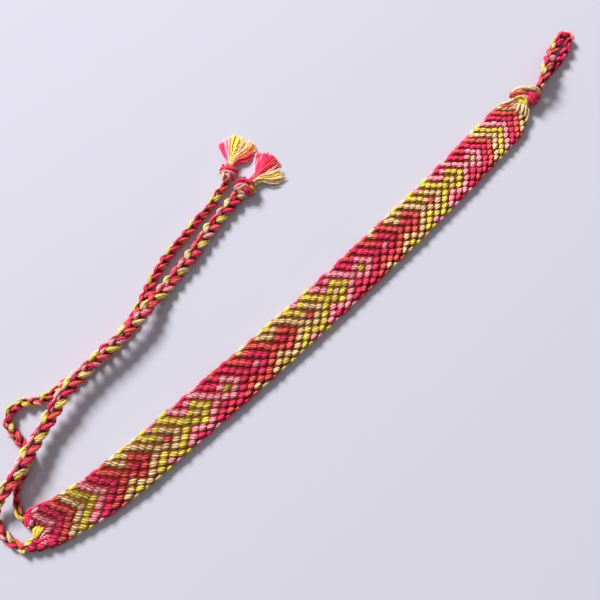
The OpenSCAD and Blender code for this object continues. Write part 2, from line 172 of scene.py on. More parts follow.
TIE_A_TURNS = [(-6.4, -1), (1.8, 0), (34.6, 4), (71, 9), (95.9, 12), (112.5, 14)]
TIE_A_BUNDLES = [
    ([(0, YELLOW), (12, HOT), (21, YELLOW, CREAM), (34, YELLOW)],
     [(0, HOT), (10, YELLOW, CREAM), (30, YELLOW), (44, CREAM, CORAL), (56, CORAL, HOT)]),
    ([(0, PALE, CORAL), (13, HOT), (21, PALE, CORAL), (44, HOT, PALE), (52, HOT, CORAL), (93, PALE)],
     [(0, CORAL, CREAM), (7, HOT, CORAL), (13, CREAM, YELLOW), (20, HOT, CORAL), (60, HOT),
      (97, CREAM, YELLOW)]),
    ([(0, CORAL), (13, HOT, CORAL), (20, CORAL, PALE), (29, CREAM, YELLOW), (36, CORAL, PALE),
      (48, CORAL, HOT), (95, CORAL, CREAM)],
     [(0, HOT), (30, CORAL, PALE), (50, CORAL, HOT)])]
TIE_B_EXIT = (-93.44, 2.123)
TIE_B_ROUTE = [
    (0, 0), (-0.6, 1.5), (-1.2, 2.9), (-1.6, 4.7), (-1.7, 6.7), (-1.2, 8.5, 0.1), (-0.1, 10, 0.4),
    (1.6, 11, 0.75), (3.6, 11.6, 1), (5.8, 12.1, 1), (8.6, 12.9, 1), (11.4, 14.1, 1), (14.3, 15.4, 0.85),
    (17.5, 16.7, 0.75), (20.6, 17.8, 0.8), (23.6, 18.8, 1), (26.2, 19.7, 1), (29, 20.3, 1),
    (31.9, 20.6, 1), (34.7, 20.8, 1), (37.6, 20.8, 1), (40.3, 20.9, 1), (43, 21, 1), (45.7, 21.3, 1),
    (48.8, 21.8, 1), (51.9, 22.5, 0.8), (55.2, 23.4, 0.35), (58.5, 24.1), (61.2, 24.6), (63.9, 25.1),
    (66.4, 25.6), (68.9, 26.2), (71.2, 26.8), (73.5, 27.5), (75.6, 28.1), (77.9, 28.6), (80, 29),
    (82, 29.4), (84, 29.7), (86.2, 30), (88.6, 30.3)]
TIE_B_SWELL = [(0, 0.66), (0.05, 0.58), (0.12, 0.62), (0.2, 0.85), (0.27, 1), (1, 1)]
TIE_B_SIZE, TIE_B_IN_PRONG = (3.4, 2.3, 103), 0.5
TIE_B_TURNS = [(-5.5, -3), (19, 0), (108.87, 11)]
TIE_B_BUNDLES = [
    ([(0, HOT), (20, HOT, PALE), (60, HOT, CORAL)], [(0, HOT, CORAL), (30, HOT), (50, HOT, PALE)]),
    ([(0, CREAM), (25, CREAM, YELLOW), (60, CREAM)], [(0, YELLOW, CREAM)]),
    ([(0, CORAL, PALE), (24, PALE), (60, CORAL, PALE)], [(0, CORAL), (70, CORAL, HOT)])]
TIES = [
    ("tie_a", TIE_A_EXIT, TIE_A_ROUTE, TIE_A_SWELL, TIE_A_SIZE, TIE_A_IN_PRONG, TIE_A_TURNS, TIE_A_BUNDLES),
    ("tie_b", TIE_B_EXIT, TIE_B_ROUTE, TIE_B_SWELL, TIE_B_SIZE, TIE_B_IN_PRONG, TIE_B_TURNS, TIE_B_BUNDLES)]

# Loop: route of its braid as (share of the length, share of the spread of its legs, lift onto the other leg,
# share of the full thickness), and how its braid turns
LOOP_ROUTE = [
    (0, 0, 1, 0.78), (0.08, 0.02, 1, 0.9), (0.16, 0.05, 1, 1.05), (0.3, 0.16, 0.95, 1.15),
    (0.45, 0.24, 0.62, 1.2), (0.6, 0.27, 0.22, 1.2), (0.74, 0.27, 0.06, 1.12), (0.85, 0.22, 0.02, 1.05),
    (0.94, 0.16, 0, 0.95), (0.98, 0, 0, 0.9), (0.99, -0.3, 0, 0.9), (0.955, -0.56, 0, 0.9),
    (0.905, -0.63, 0, 0.9), (0.8, -0.68, 0, 0.9), (0.68, -0.68, 0, 0.9), (0.54, -0.58, 0, 0.88),
    (0.4, -0.38, 0, 0.86), (0.28, -0.2, 0, 0.84), (0.16, -0.1, 0, 0.82), (0.08, -0.07, 0, 0.8),
    (0, -0.06, 0, 0.78)]
LOOP_HEADING, LOOP_START = 18.0, (72.428, 0.298)
# Its length and width, how tall its braid is, and how much higher it lies at the gather knot
LOOP_LENGTH, LOOP_WIDTH, LOOP_BRAID, LOOP_RISE = 22.6, 5.5, 2.3, 0.2
# Room between its two legs, how much wider than tall its braid is, and how far it runs into the gather knot
LOOP_GAP, LOOP_FLATNESS, LOOP_RUN_ON = 0.1, 1.1, 0.8
LOOP_TURNS = [(-6.7, -1), (4.5, 0), (15.7, 1), (49.9, 4)]
LOOP_BUNDLES = [
    ([(0, YELLOW, CREAM), (20, CORAL), (27, HOT)], [(0, PALE), (15, HOT)]),
    ([(0, CORAL), (22, PALE), (28, HOT)], [(0, CORAL, PALE), (13, HOT)]),
    ([(0, HOT), (18, CORAL, HOT), (27, HOT)], [(0, HOT, CORAL), (22, HOT)])]

# A braid, in shares of its half width and its half height: how far its bundles swing, how far apart the two
# strings of a bundle lie, how far the two yarns of a string swing round one another, and half a yarn
BUNDLE_SWING, STRINGS_APART, YARN_SWING, YARN_HALF = (0.52, 0.45), (0.03, 0.13), (0.2, 0.14), 0.33
# How far the two yarns of a string turn round one another, in radians a millimetre, how much a string swells
# and how often, and how far ahead of the length in its table a yarn's colour changes
YARN_TURN, STRING_SWELL, SWELL_LENGTH, COLOUR_AHEAD = 1.1, 0.08, 2.7, 2.0
# How far from the middle a braid's yarns lie in the painted shade of its folds, and over what distance that
# fades
PAINTED_SHADE_REACH, PAINTED_SHADE_FADE = 0.4, 0.5

# Single strings that show on the fork, the gather knot and the end knots, each as (colour, radius, points),
# with points as (x, y, height) from the notch or the knot's first point
FORK_STRINGS = [
    (YELLOW, 0.5, [(-1.3, 3.6, 1.3), (-1.7, 4.5, 1.9), (-1.9, 5.7, 2), (-1.6, 7, 1.7)]),
    (HOT, 0.6, [(-1.6, 2.4, 1.1), (-1.5, 2.9, 1.4), (-1.2, 3.7, 1.4), (-0.5, 4.6, 1)]),
    (HOT, 0.55, [(-1, 2.2, 1.5), (-0.8, 2.6, 1.75), (-0.4, 3.6, 1.7), (0.4, 4.5, 1.3)]),
    (HOT, 0.55, [(-0.5, 4.5, 0.9), (0.1, 4.7, 1.2), (1, 4.4, 1.2), (1.8, 3.9, 1)]),
    (HOT, 0.55, [(1, 4.5, 0.9), (2, 4.2, 1.2), (3.1, 3.9, 1.2), (4.2, 3.6, 0.9)]),
    (PALE, 0.4, [(-1.1, 1.9, 1.5), (-0.7, 2.3, 1.9), (-0.2, 2.8, 1.6)]),
    (PALE, 0.45, [(-1.9, 2.6, 0.9), (-1, 2, 1), (0.2, 1.4, 1.3)]),
    (YELLOW, 0.6, [(-0.8, 1.6, 0.9), (-1.1, 0.9, 1.25), (-1.6, 0.2, 1.3), (-2.3, -0.3, 1.2),
                   (-3.2, -0.2, 1)]),
    (YELLOW, 0.65, [(0, 0.9, 1), (-0.7, 0.4, 1.35), (-1.5, -0.2, 1.3), (-2.4, -0.5, 1.1)]),
    (YELLOW, 0.6, [(0.5, 0.1, 1), (-0.3, -0.2, 1.3), (-1.4, -0.5, 1.3), (-2.4, -0.7, 1)]),
    (YELLOW, 0.45, [(-2.6, -0.6, 1.2), (-3.3, -0.3, 1.4), (-4.1, 0.3, 1.1)]),
    (CREAM, 0.4, [(-2.9, -0.8, 1.2), (-3.7, -0.4, 1.5), (-4.5, 0.1, 1.2)]),
    (PALE, 0.45, [(-1.5, -1.6, 1.2), (-0.5, -1.4, 1.6), (0.6, -1, 1.5)]),
    (HOT, 0.6, [(-3.1, -1.5, 1.1), (-1.6, -1.8, 1.4), (-0.1, -2.2, 1.5), (1.2, -2.7, 1.2)]),
    (HOT, 0.6, [(-3.3, -1.9, 0.9), (-2, -2.4, 1.3), (-0.5, -2.9, 1.4), (0.9, -3.5, 1.4),
                (2.2, -4.1, 1.1)]),
    (HOT, 0.5, [(-3.4, -2, 0.7), (-1.8, -3.2, 0.9), (-0.2, -4.3, 0.9), (1.4, -5, 0.9)]),
    (CORAL, 0.6, [(-5.2, -0.9, 0.8), (-4.3, -1.3, 1), (-3.2, -1.6, 1)]),
]
GATHER_FOOT, GATHER_HEADING = (67.149, -0.141), 4.5
# Middle of the gather knot: how far from that foot it starts, its length, width and height, and its wraps
GATHER_SHIFT, GATHER_SIZE = (-0.1, 0.4), (5.0, 5.4, 4.3)
GATHER_WRAPS = [(0.3, -0.2, HOT), (0.5, -0.24, CORAL), (0.7, -0.2, CREAM)]
GATHER_STRINGS = [
    (CORAL, 0.65, [(-1.9, 3.9, 1.5), (-1, 3.6, 2.2), (-0.2, 3, 2.7), (0.5, 2, 3.1), (1.1, 0.9, 3.2)]),
    (CREAM, 0.7, [(-1.5, 4.2, 1.8), (0.1, 3.7, 2.8), (1.3, 2.8, 3.4), (2.2, 1.6, 3.7), (3, 0.2, 3.5)]),
    (PALE, 0.65, [(-0.8, 4.6, 1.5), (0.7, 4.2, 2.2), (2, 3.4, 2.8), (3, 2.2, 3), (4, 0.9, 2.7)]),
    (CREAM, 0.65, [(1.5, 2.4, 3), (2.6, 1.5, 3.7), (3.4, 0.3, 3.6), (4, -0.8, 2.8), (4.1, -1.6, 1.4)]),
    (YELLOW, 0.5, [(2.6, 2.6, 2.6), (3.6, 1.4, 3.1), (4.3, 0, 2.7), (4.6, -1, 1.8)]),
    (CORAL, 0.55, [(2.1, 0, 3.3), (3.2, -1.1, 2.8), (4.1, -1.8, 1.5)]),
    (HOT, 0.55, [(1.3, 1.2, 3.4), (1.4, -0.2, 3.6), (1.2, -1.3, 3), (1, -2.1, 1.8)]),
    (HOT, 0.5, [(0.6, 1.1, 3.1), (0.5, -0.4, 3.3), (0.3, -1.4, 2.8), (0.4, -2, 1.6)]),
    (HOT, 0.5, [(0.2, 0.4, 2.7), (-0.1, -0.6, 2.6), (0.1, -1.4, 1.7)]),
    (HOT, 0.45, [(1.9, 0.4, 3.5), (2.1, -0.7, 3.2), (1.9, -1.6, 2.5), (1.6, -2.2, 1.6)]),
    (PALE, 0.4, [(-0.2, 1.9, 2.8), (0, 1, 3.1), (0.3, -0.3, 3)]),
    (YELLOW, 0.55, [(-1.8, 2.5, 1.9), (-0.9, 2.1, 2.5), (-0.2, 1.1, 2.7), (-0.4, -0.1, 2.5),
                    (-0.8, -1.3, 1.6)]),
    (YELLOW, 0.5, [(-1.5, 2, 2), (-1.2, 0.6, 2.3), (-1.1, -0.6, 2.1), (-1.3, -1.5, 1.5)]),
    (CREAM, 0.6, [(-6.9, 4.2, 1.3), (-6.1, 4, 1.6), (-5, 3.6, 1.8), (-3.5, 3.1, 2.1), (-1.7, 2.6, 2.3)]),
    (CREAM, 0.45, [(-4.6, 2.9, 1.4), (-3.6, 2.4, 1.7), (-2.6, 2, 1.9), (-1.7, 1.8, 2)]),
    (CREAM, 0.45, [(-4.2, 1.5, 1.6), (-3.2, 1.2, 2), (-1.9, 1.1, 2.1)]),
    (CORAL, 0.42, [(-6.5, 3.6, 1.7), (-5.7, 3.1, 2), (-4.9, 2.7, 1.9), (-4.1, 2.4, 1.6)]),
    (CORAL, 0.42, [(-5.4, 2.4, 1.8), (-4.7, 2.1, 2.1), (-3.9, 1.7, 1.9), (-3.2, 1.5, 1.6)]),
    (PALE, 0.35, [(-4, 2.1, 1.8), (-3.4, 1.9, 2.1), (-2.8, 1.7, 1.9)]),
    (CREAM, 0.55, [(-1.7, 1, 2), (-3, 0.4, 2.3), (-4.6, -0.5, 1.9)]),
    (CREAM, 0.55, [(-1.4, 0.3, 2), (-2.6, -0.7, 2.3), (-4.2, -1.7, 1.8)]),
    (CREAM, 0.55, [(-1.2, -0.4, 1.9), (-2.3, -1.6, 2.1), (-3.9, -2.8, 1.6)]),
    (CREAM, 0.5, [(-1, -1, 1.5), (-2, -2.3, 1.7), (-3.6, -3.5, 1.4), (-5.3, -4.1, 1.1)]),
    (CREAM, 0.55, [(-5.2, 2.8, 0.7), (-3.4, 2, 0.6), (-1.4, 1.2, 0.8), (0.2, 0.8, 1)]),
    (CREAM, 0.55, [(-4.8, 1.4, 0.6), (-3, 1, 0.6), (-1.2, 0.6, 0.8), (0.2, 0.4, 1)]),
    (CREAM, 0.55, [(-4.6, 0.2, 0.6), (-2.8, 0.1, 0.6), (-1, 0, 0.8), (0.2, 0, 1)]),
    (CREAM, 0.55, [(-4.6, -1.1, 0.6), (-2.8, -0.8, 0.6), (-1, -0.5, 0.8), (0.2, -0.4, 1)]),
    (CREAM, 0.55, [(-4.8, -2.4, 0.7), (-3, -1.8, 0.6), (-1.2, -1.1, 0.8), (0.2, -0.8, 1)]),
]
KNOT_A_STRINGS = [
    (CORAL, 0.5, [(-0.2, 2.3, 1.2), (0.5, 2, 2), (1.7, 1.2, 2.5), (2.7, -0.2, 2), (3, -0.9, 1)]),
    (PALE, 0.5, [(-0.5, 2, 1.2), (0.1, 0.9, 2.5), (1.1, -0.4, 2.6), (1.9, -1.5, 1.2)]),
    (HOT, 0.5, [(0.2, 2.1, 1.4), (0.9, 1.1, 2.6), (1.8, 0, 2.5), (2.4, -1.1, 1.2)]),
    (PALE, 0.5, [(0.5, 0.7, 2.2), (0.2, -0.6, 2.6), (-0.3, -1.6, 1.8)]),
    (CREAM, 0.45, [(0, 1.2, 2.2), (-0.5, 0.3, 2.4), (-1.4, -0.3, 1.7)]),
    (CORAL, 0.5, [(1, -0.4, 2.3), (1, -1.3, 2.1), (0.8, -2.1, 1.1)]),
]
KNOT_B_STRINGS = [
    (HOT, 0.6, [(-0.3, 2.6, 1.2), (0.5, 2.4, 2.1), (1.5, 1.9, 2.6), (2.3, 1, 2.9), (2.7, -0.2, 2.7),
                (2.7, -1.6, 1.6)]),
    (HOT, 0.5, [(1.2, 2.4, 1.6), (2.2, 1.7, 2.3), (3.1, 0.6, 2.4), (3.4, -0.5, 1.9)]),
    (PALE, 0.65, [(-1.2, 1.7, 1.2), (-0.5, 1.4, 2.3), (0.4, 0.9, 2.9), (1.2, 0.3, 2.8)]),
    (CREAM, 0.55, [(-0.9, 0.8, 1.9), (-0.1, 0.3, 2.8), (0.9, 0.1, 3.1), (1.7, -0.2, 2.8)]),
    (CORAL, 0.6, [(0.9, 0.8, 2.9), (1.3, -0.5, 3.1), (1.3, -1.8, 2.5), (1.2, -2.6, 1.4)]),
    (HOT, 0.55, [(0.5, 0.2, 2.8), (0.5, -1.2, 2.8), (0.4, -2.4, 1.6)]),
    (YELLOW, 0.5, [(1.9, -0.5, 2.7), (2.2, -1.6, 2.2), (2.1, -2.6, 1.2)]),
    (PALE, 0.5, [(-0.9, 0.5, 2), (-0.4, -0.7, 2.3), (-0.2, -1.8, 1.6)]),
]

# Single strings: share of their thickness at their ends, over what share of them they thin out, how far apart
# their two yarns lie, half a yarn's width and height, and how far they turn in radians a millimetre
STRING_END, STRING_TAPER, YARNS_APART, YARN_SHARES, STRING_TURN = 0.6, 0.2, 0.5, (0.62, 0.7), 0.35

# Wraps: radius on the end knots and on the gather knot, and the angles from and to which they go round
WRAP_RADIUS, GATHER_WRAP_RADIUS = 0.42, 0.55
WRAP_ANGLES = (165, 375)
# How far inside a knot's surface its plain middle lies
HEART_INSET = 0.35

# Tassels: width and height of the neck they leave their knot through, the room to it, the radius of a thread
# and how low it may lie
NECK, KNOT_GAP = (2.6, 2.2), 0.1
THREAD_RADIUS, THREAD_LOW = 0.15, 0.15
# How the threads of a lock differ: angle at the knot and bend past it in degrees, share of the length, and
# tone, which differs at random and is raised overall as painted light
THREAD_SPREAD, THREAD_BEND, THREAD_LENGTHS, THREAD_TONES_AND_PAINTED_LIGHT = 3.2, 2.5, (0.88, 1.03), (-0.5, 3.0)
# A thread at the neck's side: its angle and how near the side it is, and how places vary across and up
SIDE_ANGLE, SIDE_SHARE, ACROSS_SPREAD, UP_SPREAD = 45, 0.75, 0.25, 0.85
# How soon it takes its angle, how low its end lies, how much higher it may, and how high and often it waves
BEND_SOON, END_LOW, END_RISE, THREAD_WAVE, WAVES = 1.8, 0.2, 0.7, 0.06, (4, 9)
# End knots and tassels. A foot is the knot's first point on the surface and a knot its length, width and
# height. A wrap is (place along the knot, lean along it, colour), and a lock is (angle, share of the tassel's
# length, threads, colour).
TIE_ENDS = [
    {"tie": "a", "foot": (-4.711, 38.426), "heading": 33.69, "knot": (3.0, 4.2, 3.4), "heart": PALE,
     "wraps": [(0.3, 0.12, CORAL), (0.5, 0.12, PALE), (0.7, 0.12, HOT)], "strings": KNOT_A_STRINGS,
     "tassel": 9.5,
     "locks": [(27, 0.8, 24, HOT), (21, 0.88, 16, PALE), (15, 0.95, 14, PALE), (8, 1, 30, YELLOW),
               (1, 1, 30, YELLOW), (-7, 1, 12, CREAM), (-14, 0.97, 8, PALE), (-20, 0.97, 10, CREAM),
               (-24, 0.93, 9, YELLOW), (-27, 0.92, 18, CORAL), (-32, 0.86, 6, CREAM), (-35, 0.78, 16, CORAL),
               (-43, 0.58, 12, HOT)]},
    {"tie": "b", "foot": (-4.741, 32.436), "heading": 7.125, "knot": (3.4, 5.2, 3.7), "heart": CORAL,
     "wraps": [(0.22, 0.1, CREAM), (0.42, 0.1, PALE), (0.6, 0.1, CORAL), (0.78, 0.1, HOT)],
     "strings": KNOT_B_STRINGS, "tassel": 9.6,
     "locks": [(24, 0.88, 24, PALE), (21, 0.92, 34, HOT), (16, 0.96, 40, HOT),
               (11, 1, 40, HOT), (5, 1, 40, HOT), (-1, 0.98, 30, CORAL), (-7, 0.94, 16, HOT),
               (-14, 0.9, 8, PALE), (-21, 0.88, 8, CREAM), (-28, 0.88, 5, YELLOW), (-33, 0.88, 9, CREAM),
               (-38, 0.8, 8, CREAM), (-43, 0.72, 5, CREAM)]},
]

# Yarn: corners of its section in order for one ply, as (share of the radius, how open it lies to the light,
# which sets the painted shade in the grooves between plies)
PLY_CORNERS = [(1.0, 1.0), (0.85, 0.3)]
# Kinds of yarn as (plies, length in which they turn round it once), and that length for the band's knots
THICK_YARN, HEART_YARN, STRING_YARN, BRAID_YARN = (9, 7.0), (9, 20.0), (7, 5.0), (5, 4.0)
THREAD_YARN, BED_YARN, KNOT_TWIST = (3, 9.0), (4, 50.0), 11.0
# Step between the rings of a string or braid
RING_STEP = 0.3

rng = np.random.default_rng(SEED)
vary = rng.uniform


# Geometry of lines

def unit(vectors):
    """The same directions, each of length 1."""
    return vectors / np.linalg.norm(vectors, axis=-1, keepdims=True)


def arc_lengths(points):
    """Length along a line up to each of its points."""
    steps = np.linalg.norm(np.diff(points, axis=0), axis=1)
    return np.concatenate([[0.0], np.cumsum(steps)])


def smooth(route, step):
    """Points a step apart on a smooth curve through the points of a route."""
    route = np.array(route, float)
    held = np.vstack([2 * route[0] - route[1], route, 2 * route[-1] - route[-2]])
    t = np.linspace(0, 1, 16, endpoint=False)[:, None]
    dense = []
    for a, b, c, d in zip(held, held[1:], held[2:], held[3:]):
        bend = a - 2.5 * b + 2 * c - d / 2 + t * (1.5 * (b - c) + (d - a) / 2)
        dense.append(b + t * ((c - a) / 2 + t * bend))
    dense = np.vstack(dense + [route[-1:]])
    length = arc_lengths(dense)
    places = np.linspace(0, length[-1], max(3, round(length[-1] / step) + 1))
    return np.stack([np.interp(places, length, dense[:, i]) for i in range(3)], axis=1)


def along(heading):
    """Direction on the surface at a heading in degrees."""
    turn = np.radians(heading)
    return np.stack([np.cos(turn), np.sin(turn), np.zeros_like(turn)], axis=-1)


def table(rows, place, column=1):
    """Value of a column of a table at a place given in its first column."""
    return np.interp(place, [row[0] for row in rows], [row[column] for row in rows])


def any_turn():
    """A turn of one yarn about its own line in radians."""
    return vary(0, 6)


# Yarns

def new_object(name, data):
    """An object of that name in the scene."""
    made = bpy.data.objects.new(name, data)
    bpy.context.scene.collection.objects.link(made)
    return made


class Yarns:
    """Closed tubes of yarn, joined into one mesh with a material for each colour of string."""

    def __init__(self):
        self.points, self.opens, self.tones_and_painted_light = [], [], []
        self.corners, self.sizes, self.colours, self.maps = [], [], [], []
        self.count = 0

    def add(self, rings, colour, opens, tone=0.0):
        """rings has a row for each ring, and so has the share of painted light, which is 1 on the crowns and
        0 in the folds, painted in shade.

        colour is one number, or one for each stretch between two rings.
        """
        rows, sides = opens.shape
        index = self.count + np.arange(rows * sides).reshape(rows, sides)
        after = np.roll(index, -1, axis=1)
        self.corners.append(np.stack([index[:-1], after[:-1], after[1:], index[1:]], -1).ravel())
        self.corners.append(index[0, ::-1])
        self.corners.append(index[-1])
        walls = (rows - 1) * sides
        self.sizes.append(np.array([4] * walls + [sides, sides]))
        by_ring = np.broadcast_to(colour, rows - 1)
        self.colours.append(np.concatenate([np.repeat(by_ring, sides), by_ring[[0, -1]]]))
        self.points.append(rings.reshape(-1, 3))
        self.opens.append(opens.ravel())
        self.tones_and_painted_light.append(np.full(rows * sides, tone))
        self.maps.append(self.fibre_map(rings))
        self.count += rows * sides

    @staticmethod
    def fibre_map(rings):
        """Places on the yarn's own surface in millimetres, round it and along it, for each corner."""
        rows, sides = rings.shape[:2]
        length = arc_lengths(rings.mean(axis=1)) + vary(0, 50)
        girth = np.linalg.norm(np.diff(rings[rows // 2], axis=0), axis=1).sum()
        around = np.linspace(0, girth, sides + 1)
        corner = np.stack(np.meshgrid(around, length), -1)
        walls = np.stack([corner[:-1, :-1], corner[:-1, 1:], corner[1:, 1:], corner[1:, :-1]], axis=2)
        return np.vstack([walls.reshape(-1, 2), corner[0, -2::-1], corner[-1, :-1]])

    def build(self, name, replaces=()):
        """The finished piece, which rides on the part's one body."""
        mesh = bpy.data.meshes.new(name)
        points = np.vstack(self.points) * MM
        mesh.vertices.add(len(points))
        mesh.vertices.foreach_set("co", points.ravel())
        corners = np.concatenate(self.corners)
        mesh.loops.add(len(corners))
        mesh.loops.foreach_set("vertex_index", corners)
        sizes = np.concatenate(self.sizes)
        mesh.polygons.add(len(sizes))
        mesh.polygons.foreach_set("loop_start", np.cumsum(sizes) - sizes)
        mesh.polygons.foreach_set("material_index", np.concatenate(self.colours))
        mesh.update(calc_edges=True)
        mesh.shade_smooth()
        for label, values in (("open", self.opens), ("tone", self.tones_and_painted_light)):
            values = np.concatenate(values).astype(np.float32)
            mesh.attributes.new(label, "FLOAT", "POINT").data.foreach_set("value", values)
        mesh.uv_layers.new(name="fibre").data.foreach_set("uv", np.vstack(self.maps).ravel())
        for material in cottons:
            mesh.materials.append(material)
        piece = new_object(name, mesh)
        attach(piece, "root")
        if replaces:
            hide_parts(*replaces)
        return piece


def yarn_rings(points, across, tall, outward=UP, kind=THICK_YARN, turn=0.0):
    """Rings of a twisted yarn along points, and how open each corner lies.

    across and tall are half the yarn's width and height, and outward is the direction of its height.
    """
    plies, twist = kind
    tangents = unit(np.gradient(points, axis=0))
    side = unit(np.cross(np.broadcast_to(outward, points.shape), tangents))
    top = np.cross(tangents, side)
    sides = plies * len(PLY_CORNERS)
    ridge = np.tile([corner[0] for corner in PLY_CORNERS], plies)
    # Painted shade: the grooves between the plies get a low share of painted light.
    opens = np.tile([corner[1] for corner in PLY_CORNERS], plies)
    turns = turn + 2 * np.pi * (arc_lengths(points)[:, None] / twist + np.arange(sides) / sides)
    across = np.broadcast_to(across, len(points))[:, None]
    tall = np.broadcast_to(tall, len(points))[:, None]
    rings = (points[:, None]
             + side[:, None] * (across * np.cos(turns) * ridge)[..., None]
             + top[:, None] * (tall * np.sin(turns) * ridge)[..., None])
    return rings, np.broadcast_to(opens, turns.shape)


def add_strings(yarns, anchor, strings):
    """Strings along short routes, each of two yarns that lie round one another and dip in at their ends."""
    for colour, radius, route in strings:
        points = smooth(np.array(route) + [*anchor, 0.0], RING_STEP)
        side = unit(np.cross(UP, unit(np.gradient(points, axis=0))))
        share = np.linspace(0, 1, len(points))
        full = np.interp(share, [0, STRING_TAPER, 1 - STRING_TAPER, 1], [STRING_END, 1, 1, STRING_END])
        turn = vary(0, 1) + arc_lengths(points) * STRING_TURN
        away = radius * YARNS_APART * full
        # Painted shade: the string is darker at its ends, where it dips in.
        painted_lit_share = np.clip(full * 2.2 - 1.2, 0, 1)[:, None] ** 0.5
        for half_turn in (0, np.pi):
            line = (points + side * (away * np.cos(turn + half_turn))[:, None]
                    + UP * (0.5 * away * np.sin(turn + half_turn))[:, None])
            rings, opens = yarn_rings(line, YARN_SHARES[0] * radius * full, YARN_SHARES[1] * radius * full,
                                      kind=STRING_YARN, turn=any_turn())
            yarns.add(rings, colour, opens * painted_lit_share, vary(-1, 1))


# Materials

def linear(rgb):
    """Linear colour of sRGB numbers from 0 to 255."""
    return [(c / 255 / 12.92) if c <= 10 else ((c / 255 + 0.055) / 1.055) ** 2.4 for c in rgb] + [1.0]


def add_node(tree, kind, inputs=None, **settings):
    """A shader node with its settings, and its inputs as plain values or as links from other nodes."""
    made = tree.nodes.new("ShaderNode" + kind)
    for key, value in settings.items():
        setattr(made, key, value)
    for key, value in (inputs or {}).items():
        if isinstance(value, bpy.types.NodeSocket):
            tree.links.new(value, made.inputs[key])
        else:
            made.inputs[key].default_value = value
    return made


def new_material(name):
    """A plain material, its nodes and its shader."""
    material = bpy.data.materials.new(name)
    material.use_nodes = True
    return material, material.node_tree, material.node_tree.nodes["Principled BSDF"]


def from_place(tree, kind, place, **inputs):
    """What a noise or mapping node makes of a place on the yarn."""
    inputs = {key.capitalize(): value for key, value in inputs.items()}
    return add_node(tree, kind, {"Vector": place, **inputs}).outputs[0]


def add_range(tree, value, low, high):
    """A value brought from between low and high to between 0 and 1, softly at both ends."""
    return add_node(tree, "MapRange", {"Value": value, "From Min": low, "From Max": high},
                    interpolation_type="SMOOTHSTEP").outputs["Result"]


def add_weighted(tree, value, weight, base):
    """A value times its weight, added to a base."""
    inputs = {0: value, 1: weight, 2: base}
    return add_node(tree, "Math", inputs, operation="MULTIPLY_ADD").outputs[0]


def cotton(name, crown, painted_fold_shade):
    """Matt cotton: painted shade in its folds, a tone that differs at random from string to string and on the
    band holds painted light and shade, with fine fibres along the yarn.
    """
    material, tree, shader = new_material("cotton_" + name)
    opens = add_node(tree, "Attribute", attribute_name="open").outputs["Fac"]
    tone = add_node(tree, "Attribute", attribute_name="tone").outputs["Fac"]
    place = add_node(tree, "UVMap", uv_map="fibre").outputs["UV"]
    fine = from_place(tree, "Mapping", place, scale=FIBRE_GRAIN)
    fibre = from_place(tree, "TexNoise", fine, scale=1.0, detail=3.0, roughness=0.6)
    patch = from_place(tree, "TexNoise", place, scale=PATCH_GRAIN, detail=1.0)
    slant = from_place(tree, "Mapping", place, rotation=(0.0, 0.0, STREAK_SLANT))
    streaks = from_place(tree, "Mapping", slant, scale=STREAK_GRAIN)
    streak = add_range(tree, from_place(tree, "TexNoise", streaks, scale=1.0, detail=1.0), *STREAK_NOISE)
    painted_shade_mix = add_range(tree, opens, FOLD_OPEN, CROWN_OPEN)
    # The colour runs from the painted fold shade to the crown colour as the share of painted light rises.
    mixed = add_node(tree, "Mix", {0: painted_shade_mix, 6: linear(painted_fold_shade), 7: linear(crown)}, data_type="RGBA")
    value = add_weighted(tree, tone, TONE_WEIGHT, COTTON_BASE)
    value = add_weighted(tree, fibre, FIBRE_WEIGHT, value)
    value = add_weighted(tree, streak, STREAK_WEIGHT, value)
    value = add_weighted(tree, patch, PATCH_WEIGHT, value)
    shade = add_node(tree, "HueSaturation", {"Color": mixed.outputs[2], "Value": value})
    bump = add_node(tree, "Bump", {"Height": fibre, "Strength": 0.6, "Distance": FIBRE_RELIEF * MM})
    tree.links.new(shade.outputs["Color"], shader.inputs["Base Color"])
    tree.links.new(bump.outputs["Normal"], shader.inputs["Normal"])
    shader.inputs["Roughness"].default_value = 0.85
    shader.inputs["Specular IOR Level"].default_value = 0.2
    shader.inputs["Sheen Weight"].default_value = 0.08
    shader.inputs["Sheen Roughness"].default_value = 0.5
    return material


cottons = [cotton(*row) for row in STRING_COLOURS]


# Camera, floor and light

def make_camera():
    data = bpy.data.cameras.new("camera")
    data.lens = CAMERA_LENS
    data.sensor_width = 36.0
    data.clip_start = 0.01
    camera = new_object("camera", data)
    camera.location = Vector(CAMERA_AT) * MM
    camera.rotation_euler = (math.radians(CAMERA_LEAN), 0.0, math.radians(CAMERA_TURN))
    bpy.context.scene.camera = camera


def make_floor():
    """The white paper under the bracelet, which is no piece of the part."""
    half = PAPER_HALF
    mesh = bpy.data.meshes.new("floor")
    corners = [(-half, -half, 0), (half, -half, 0), (half, half, 0), (-half, half, 0)]
    mesh.from_pydata(corners, [], [(0, 1, 2, 3)])
    material, _, shader = new_material("floor_paper")
    shader.inputs["Base Color"].default_value = linear(PAPER_COLOUR)
    shader.inputs["Roughness"].default_value = 0.9
    shader.inputs["Specular IOR Level"].default_value = 0.1
    mesh.materials.append(material)
    new_object("floor", mesh)


def make_light():
    """The room's even light and a square soft window that faces the middle of the bracelet."""
    world = bpy.data.worlds.new("room")
    bpy.context.scene.world = world
    world.use_nodes = True
    room = world.node_tree.nodes["Background"]
    room.inputs["Color"].default_value = (1.0, 0.98, 0.96, 1.0)
    room.inputs["Strength"].default_value = 0.3
    data = bpy.data.lights.new("window", "AREA")
    data.size = 0.62
    data.energy = 76.0
    data.color = (1.0, 0.98, 0.94)
    window = new_object("window", data)
    window.location = Vector(WINDOW_AT)
    window.rotation_euler = (-Vector(WINDOW_AT)).to_track_quat("-Z", "Y").to_euler()
    bpy.context.scene.view_settings.view_transform = "Standard"


# Ties

